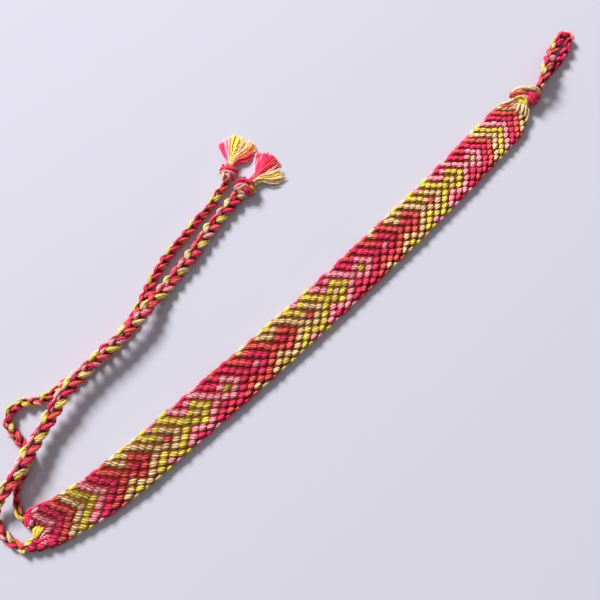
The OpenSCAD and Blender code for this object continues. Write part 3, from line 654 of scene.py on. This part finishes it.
def route_points(exit_place, route, height):
    """Points of a tie's middle line: its exit, its route from there, and its lift over the other tie."""
    return [(exit_place[0] + x, exit_place[1] + y, height / 2 + sum(lift) * TIE_LIFT)
            for x, y, *lift in route]


def extended(points, before, after):
    """The same line, run on straight at both ends."""
    points = np.array(points, float)
    first = points[0] - unit(points[1] - points[0]) * before
    last = points[-1] + unit(points[-1] - points[-2]) * after
    return np.vstack([first, points, last])


def braid(yarns, route, ends, shares, width, height, turned, bundles):
    """A flat braid of three bundles of two strings along a route, run on a little at both its ends.

    shares holds the share of the full width at each point of the route. The two strings of a bundle lie
    one on the other, and the first is on top at the left side of the braid, the second at the right. The
    two yarns of a string lie round one another.
    """
    points = smooth(extended(route, *ends), RING_STEP)
    place = arc_lengths(points) - ends[0]
    share = np.interp(place, arc_lengths(np.array(route)), shares)
    half_width, half_height = share * width / 2, np.minimum(share * 1.15, 1) * height / 2
    left = unit(np.cross(UP, unit(np.gradient(points, axis=0))))
    middle = points - UP * (height / 2 - half_height)[:, None]
    for number, bundle in enumerate(bundles):
        turns = 2 * np.pi * (table(turned, place) + number / 3) + np.pi / 4
        for side, colours in zip((1, -1), bundle):
            swollen = 1 + STRING_SWELL * np.sin(2 * np.pi * place / SWELL_LENGTH + any_turn())
            starts = [row[0] for row in colours]
            showing = np.searchsorted(starts, place[:-1] + COLOUR_AHEAD, side="right") - 1
            twist = any_turn() + place * YARN_TURN
            for yarn, half_turn in ((1, 0.0), (-1, np.pi)):
                across = half_width * (BUNDLE_SWING[0] * np.sin(turns) + STRINGS_APART[0] * side
                                       + YARN_SWING[0] * np.cos(twist + half_turn))
                up = half_height * (BUNDLE_SWING[1] * np.sin(2 * turns)
                                    + STRINGS_APART[1] * side * np.cos(turns - np.pi / 4)
                                    + YARN_SWING[1] * np.sin(twist + half_turn))
                line = middle + left * across[:, None] + UP * up[:, None]
                # ridge is here the share of painted light on the ply crowns, low in their painted-shade
                # grooves.
                rings, ridge = yarn_rings(
                    line, YARN_HALF * half_width * swollen, YARN_HALF * half_height * swollen,
                    kind=BRAID_YARN, turn=any_turn())
                away = rings - middle[:, None]
                far_side = np.einsum("rsk,rk->rs", away, left) / half_width[:, None]
                far = np.hypot(far_side, away[..., 2] / half_height[:, None])
                colour = np.array([row[yarn] for row in colours])[np.maximum(showing, 0)]
                # Painted shade: yarns near the braid's middle line, where the strings cross, take their fold
                # colour.
                painted_lit_share = np.clip((far - PAINTED_SHADE_REACH) / PAINTED_SHADE_FADE, 0, 1)
                yarns.add(rings, colour, ridge * painted_lit_share, vary(-1.5, 1.5))


def make_tie(name, place, route, swell, size, in_prong, turned, bundles):
    """One tie of braided string, which starts so far inside its prong."""
    width, height, _ = size
    points = route_points(place, route, height)
    shares = table(swell, np.linspace(0, 1, len(points)))
    yarns = Yarns()
    braid(yarns, points, (in_prong, TIE_IN_KNOT), shares, width, height, turned, bundles)
    return yarns.build(name + "_braid", [name])


# Gather knot and end knots

def add_wraps(yarns, foot, heading, size, wraps, radius):
    """Strings wound round a knot. foot is the knot's first point on the surface.

    Each wrap is (place along the knot, lean along it, colour). The knot is fullest in its middle.
    """
    length, width, height = size
    for place, lean, colour in wraps:
        angle = np.radians(np.linspace(*WRAP_ANGLES, 26))
        ahead = length * (place + lean * np.cos(angle))
        full = np.sqrt(np.clip(1 - ((ahead / length - 0.5) / 0.72) ** 2, 0.15, 1))
        out = (along(heading + 90) * (np.cos(angle) * (width / 2 - radius) * full)[:, None]
               + UP * (np.sin(angle) * (height / 2 - radius) * full)[:, None])
        points = np.array([*foot, height / 2]) + along(heading) * ahead[:, None] + out
        rings, opens = yarn_rings(points, radius * 1.1, radius, unit(out), turn=any_turn())
        yarns.add(rings, colour, opens, vary(-1, 1))


def add_heart(yarns, foot, heading, size, colour):
    """Plain swollen middle of a knot, under its wraps, painted mostly in shade."""
    length, width, height = size
    share = np.linspace(0.02, 0.98, 9)
    full = np.sqrt(1 - (2 * share - 1) ** 2) * 0.8 + 0.1
    points = np.array([*foot, height / 2]) + along(heading) * (length * share)[:, None]
    rings, opens = yarn_rings(points, (width / 2 - HEART_INSET) * full, (height / 2 - HEART_INSET) * full,
                              kind=HEART_YARN)
    # Painted shade under the wraps: a third of the usual share of painted light.
    yarns.add(rings, colour, opens * 0.3)


# Tassels

def thread_points(foot, heading, reach, angle):
    """Points of one thread of a tassel, from inside its knot to its cut end."""
    end = angle + rng.normal(0, THREAD_SPREAD)
    side = np.clip(angle / SIDE_ANGLE, -1, 1) * SIDE_SHARE + vary(-ACROSS_SPREAD, ACROSS_SPREAD)
    rise = vary(-UP_SPREAD, UP_SPREAD) * math.sqrt(max(0.05, 1 - side * side))
    start_side, start_height = side * NECK[0] / 2, NECK[1] / 2 + rise * NECK[1] / 2
    share = np.linspace(-0.05, 1, 9)
    far = reach * vary(*THREAD_LENGTHS)
    bend = np.clip(share * BEND_SOON, 0, 1) ** 1.1
    turn = np.radians(end * bend + rng.normal(0, THREAD_BEND) * share ** 2)
    low = END_LOW + max(0.0, rise + 0.5) * END_RISE * vary(0.3, 1.0)
    ahead = far * share * np.cos(turn)
    aside = start_side * (1 - 0.3 * share) + far * share * np.sin(turn)
    up = start_height + (low - start_height) * np.clip(share, 0, 1) ** 1.4
    up = up + THREAD_WAVE * np.sin(share * vary(*WAVES) + any_turn()) * share
    up = np.maximum(up, THREAD_LOW)
    points = (np.array([*foot, 0.0]) + along(heading) * ahead[:, None]
              + along(heading + 90) * aside[:, None] + UP * up[:, None])
    return share, points


def add_tassel(yarns, foot, heading, length, locks):
    """Loose threads with cut ends. Each lock is (angle, share of the length, threads, colour)."""
    for angle, reach, threads, colour in locks:
        for _ in range(threads):
            share, points = thread_points(foot, heading, length * reach, angle)
            radius = THREAD_RADIUS * np.interp(share, [0, 0.85, 1], [1.1, 1, 0.6])
            rings, opens = yarn_rings(points, radius, radius, kind=THREAD_YARN, turn=any_turn())
            # Painted shade: threads are darker the lower they lie, near the floor.
            tall = np.interp(points[:, 2:], [0.1, 0.9], [0.85, 1])
            yarns.add(rings, colour, (0.8 + 0.2 * opens) * tall, vary(*THREAD_TONES_AND_PAINTED_LIGHT))


def make_ties():
    """The two ties with their knots and tassels."""
    braids = [make_tie(*tie) for tie in TIES]
    for (_, place, route, _, (width, height, length), *_), piece, end in zip(TIES, braids, TIE_ENDS):
        knot_node, tassel_node = "knot_" + end["tie"], "tassel_" + end["tie"]
        yarns = Yarns()
        add_heart(yarns, end["foot"], end["heading"], end["knot"], end["heart"])
        add_wraps(yarns, end["foot"], end["heading"], end["knot"], end["wraps"], WRAP_RADIUS)
        add_strings(yarns, end["foot"], end["strings"])
        knot = yarns.build(knot_node + "_wraps", [knot_node])
        tassel_foot = np.array(end["foot"]) + along(end["heading"])[:2] * (end["knot"][0] + KNOT_GAP)
        yarns = Yarns()
        add_tassel(yarns, tassel_foot, end["heading"], end["tassel"], end["locks"])
        tassel = yarns.build(tassel_node + "_threads", [tassel_node])
        line = smooth(route_points(place, route, height), 1.0) * MM


# Band

line_places = np.arange(-LINE_PAST, BAND_LENGTH + LINE_PAST, LINE_STEP)
line_headings = table(BAND_BENDS, line_places / BAND_LENGTH)
line_points = np.cumsum(along(line_headings) * LINE_STEP, axis=0)
line_points += np.array([*NOTCH, 0.0]) - line_points[round(LINE_PAST / LINE_STEP)]


def band_heading(place):
    """Heading of the band at a place along it."""
    return np.interp(place, line_places, line_headings)


def band_point(place, across, up):
    """Point at a place along the band, so far across it to +Y and so high over the surface."""
    place, across, up = np.broadcast_arrays(place, across, up)
    middle = np.stack([np.interp(place, line_places, line_points[:, i]) for i in range(3)], axis=-1)
    return middle + along(band_heading(place) + 90) * across[..., None] + UP * up[..., None]


def band_across(place, share):
    """Distance across the band of a share of its half width. Past the notch it follows the prongs."""
    if place >= 0:
        return share * table(BAND_FORM, place) / 2
    if share > NOTCH_SHARE:
        inner = (share - (1 + NOTCH_SHARE) / 2) / ((1 - NOTCH_SHARE) / 2)
        return table(PRONG_A, -place) + inner * table(PRONG_A, -place, 2)
    inner = (share - (NOTCH_SHARE - 1) / 2) / ((1 + NOTCH_SHARE) / 2)
    return table(PRONG_B, -place) + inner * table(PRONG_B, -place, 2)


def band_section(place):
    """Thickness of the band at a place, and its width as a share of the full width."""
    return table(BAND_FORM, place, 2), table(BAND_FORM, max(place, 0)) / BAND_WIDTH


def row_place(row):
    """Place along the band of a row of knots, which may lie between two whole ones."""
    before = ROW_PLACES[0][1] + (row - ROW_PLACES[0][0]) * EARLY_PITCH
    return before if row < ROW_PLACES[0][0] else table(ROW_PLACES, row)


def arm_place(side, row, arm):
    """Place along the band of the knot so many steps down one arm of a row's chevron."""
    return row_place(row - arm * table(ARM_FALL[side], row_place(row)))


def knot_colour(side, row, arm):
    """Colour of a knot, in nested diamonds and chevrons that step through the colours."""
    if row == PALE_ROW and arm == 0:
        return CREAM
    i, j = (row, row - arm) if side < 0 else (row - arm, row)
    rings = min(n + max(abs(i - DIAMOND_STEP * n), abs(j - DIAMOND_STEP * n)) for n in range(*DIAMONDS))
    return min(max(i, j) + CHEVRON_SHIFT, rings) % len(STRING_COLOURS)


def each_knot():
    """Every knot of the band as (side, arm, place, share across, colour)."""
    for row in range(FIRST_ROW, LAST_ROW + 1):
        for side in (-1, 1):
            for arm in range(0 if side < 0 else 1, ARM_KNOTS + 1):
                place = arm_place(side, row, arm)
                colour = HOT if place < PRONG_COLOUR_END else knot_colour(side, row, arm)
                if place > FIRST_KNOT[side] and (row > FIRST_ROW or arm > 1):
                    yield side, arm, place, side * arm * COLUMN, colour


def add_knot(yarns, place, share, colour, face, size, lean, tilt, corners):
    """One knot of the band, a short fat grain whose ends dip under its neighbours.

    face is 1 on top and -1 underneath, size the knot's half length, width and height.
    """
    length, width, height = size
    plies, ring_count = corners
    thick, narrow = band_section(place)
    tall = height * thick / 2
    heading = band_heading(place) + lean
    t = np.linspace(-0.96, 0.96, ring_count)
    full = np.sqrt(1 - np.abs(t) ** 2.6) * (1 + vary(-KNOT_TAPER, KNOT_TAPER) * t)
    tilt = math.radians(tilt)
    outward = face * (UP * math.cos(tilt) + along(heading + 90) * math.sin(tilt))
    middle = band_point(place, band_across(place, share), thick / 2 + face * thick * KNOT_LEVEL)
    bow = vary(-KNOT_BOW, KNOT_BOW) * (1 - t ** 2)
    points = (middle + along(heading) * (t * length)[:, None] + along(heading + 90) * bow[:, None]
              - UP * (face * KNOT_DIP * t ** 2)[:, None])
    rings, opens = yarn_rings(points, width * narrow * full, tall * full, outward,
                              kind=(plies, KNOT_TWIST), turn=any_turn())
    # Painted shade: the knot's low flanks and its ends, where they dip under its neighbours, are darker.
    lit = np.clip((rings - middle) @ outward / tall, 0, 1) ** 1.3
    painted_lit_share = lit * (1 - 0.3 * t ** 2)[:, None]
    # Painted light and shade along and across the band, added to a random tone.
    tone = table(BAND_PAINTED_LIGHT, place) + table(COLUMN_PAINTED_LIGHT, share)
    yarns.add(rings, colour, opens * painted_lit_share, tone + vary(-KNOT_TONE_SPREAD, KNOT_TONE_SPREAD))


def make_knots(name, face, corners):
    """All knots of one face of the band, each with so many (plies, rings)."""
    yarns = Yarns()
    for side, arm, place, share, colour in each_knot():
        lean = HIGH_ARM_LEAN if side > 0 else table(LOW_ARM_LEAN, place)
        lean = lean * face + rng.normal(0, LEAN_SPREAD)
        tilt = 0
        if face > 0:
            tilt = table(KNOT_TILT, place) + (LOW_ARM_TILT * min(arm, 2) / 2 if side < 0 else 0)
        at_edge = arm == ARM_KNOTS
        form = (KNOT_LENGTH[side], EDGE_KNOT_WIDTH if at_edge else KNOT_WIDTH, KNOT_HEIGHT)
        size = [value * vary(*spread) for value, spread in zip(form, KNOT_SPREADS)]
        place = place + rng.normal(0, PLACE_SPREAD)
        share = share * (EDGE_KNOT_IN if at_edge else 1) + rng.normal(0, SHARE_SPREAD)
        add_knot(yarns, place, share, colour, face, size, lean, tilt, corners)
    if face > 0:
        add_strings(yarns, NOTCH, FORK_STRINGS)
    return yarns.build(name, ["band"] if face > 0 else [])


def make_edges():
    """Strings that run along the band's two edges from one row to the next."""
    yarns = Yarns()
    t = np.linspace(0, 1, 10)
    arch = np.sin(np.pi * t)
    for side, first, thickness, inside, bulge, level, under in EDGES:
        for row in range(FIRST_ROW + 1, LAST_ROW):
            start = arm_place(side, row, ARM_KNOTS)
            end = arm_place(side, row + 1, ARM_KNOTS)
            if start < first:
                continue
            place = start - under + (end - start + 2 * under) * t
            across = side * (table(BAND_FORM, place) / 2 - inside + bulge * vary(0.8, 1.1) * arch)
            up = table(BAND_FORM, place, 2) * (level - EDGE_SAG + EDGE_RISE * arch + vary(-0.03, 0.03))
            points = band_point(place, across, up)
            radius = thickness * np.sin(np.pi * np.clip(t, 0.1, 0.9)) ** 0.5 * vary(0.94, 1.04)
            rings, opens = yarn_rings(points, radius, radius * 1.05, turn=any_turn())
            # Painted shade at both ends, where the string runs under the next, and painted light and shade
            # along the band as its tone.
            yarns.add(rings, knot_colour(side, row, ARM_KNOTS), opens * (0.15 + 0.85 * arch)[:, None],
                      table(BAND_PAINTED_LIGHT, start) / 2 + vary(-1, 1))
    return yarns.build("band_edges")


def add_shade_bed(yarns, place, share, colour, face):
    """Cloth under and around one knot, painted all in the fold shade of its own colour."""
    thick, narrow = band_section(place)
    t = np.linspace(-0.95, 0.95, 6)
    full = np.sqrt(1 - np.abs(t) ** 3)
    points = band_point(place + BED_LENGTH * t, band_across(place, share), thick * (0.5 + face * BED_LEVEL))
    rings, opens = yarn_rings(points, BED_WIDTH * narrow * full, BED_HEIGHT * thick * full, UP * face,
                              kind=BED_YARN)
    yarns.add(rings, colour, np.zeros(opens.shape))


def make_core():
    """Inner strings of the band, painted all in coral's fold shade, seen only between its knots."""
    yarns = Yarns()
    place = np.arange(0.6, BAND_LENGTH - 0.4, CORE_STEP)
    half = table(BAND_FORM, place)[:, None] / 2 - CORE_INSET
    thick = table(BAND_FORM, place, 2)[:, None]
    angle = 2 * np.pi * np.arange(12) / 12
    across = half * np.sign(np.cos(angle)) * np.abs(np.cos(angle)) ** 0.5
    up = thick * (0.5 + CORE_HALF * np.sin(angle))
    rings = band_point(place[:, None], across, up)
    # Painted shade: the inner strings take coral's fold colour all over.
    yarns.add(rings, CORAL, np.zeros(rings.shape[:2]))
    for _, arm, place, share, colour in each_knot():
        if place > 0.8 and arm < ARM_KNOTS:
            add_shade_bed(yarns, place, share, colour, 1)
            add_shade_bed(yarns, place, share, colour, -1)
    return yarns.build("band_core")


def make_gather():
    """The gather knot's middle, its wraps and the strings that run into it."""
    yarns = Yarns()
    foot = np.add(GATHER_FOOT, GATHER_SHIFT)
    add_heart(yarns, foot, GATHER_HEADING, GATHER_SIZE, HOT)
    add_wraps(yarns, foot, GATHER_HEADING, GATHER_SIZE, GATHER_WRAPS, GATHER_WRAP_RADIUS)
    add_strings(yarns, GATHER_FOOT, GATHER_STRINGS)
    return yarns.build("gather_knot_wraps", ["gather_knot"])


def loop_points():
    """Points of the middle line of the loop's braid."""
    ahead, side = along(LOOP_HEADING), along(LOOP_HEADING + 90)
    start = np.array([*LOOP_START, 0.0])
    length, spread = LOOP_LENGTH - LOOP_BRAID / 2, LOOP_WIDTH - LOOP_BRAID
    points = []
    for x, y, lift, _ in LOOP_ROUTE:
        up = LOOP_RISE * (1 - x) + LOOP_BRAID / 2 + lift * (LOOP_BRAID + LOOP_GAP)
        points.append(start + ahead * x * length + side * y * spread + UP * up)
    return points


def make_loop():
    yarns = Yarns()
    shares = [row[3] for row in LOOP_ROUTE]
    braid(yarns, loop_points(), (LOOP_RUN_ON, LOOP_RUN_ON), shares, LOOP_BRAID * LOOP_FLATNESS, LOOP_BRAID,
          LOOP_TURNS, LOOP_BUNDLES)
    return yarns.build("loop_braid", ["loop"])


make_camera()
make_floor()
make_light()
make_ties()
make_knots("band_knots", 1, (8, 9))
make_knots("band_back", -1, (5, 7))
make_edges()
make_core()
make_gather()
make_loop()
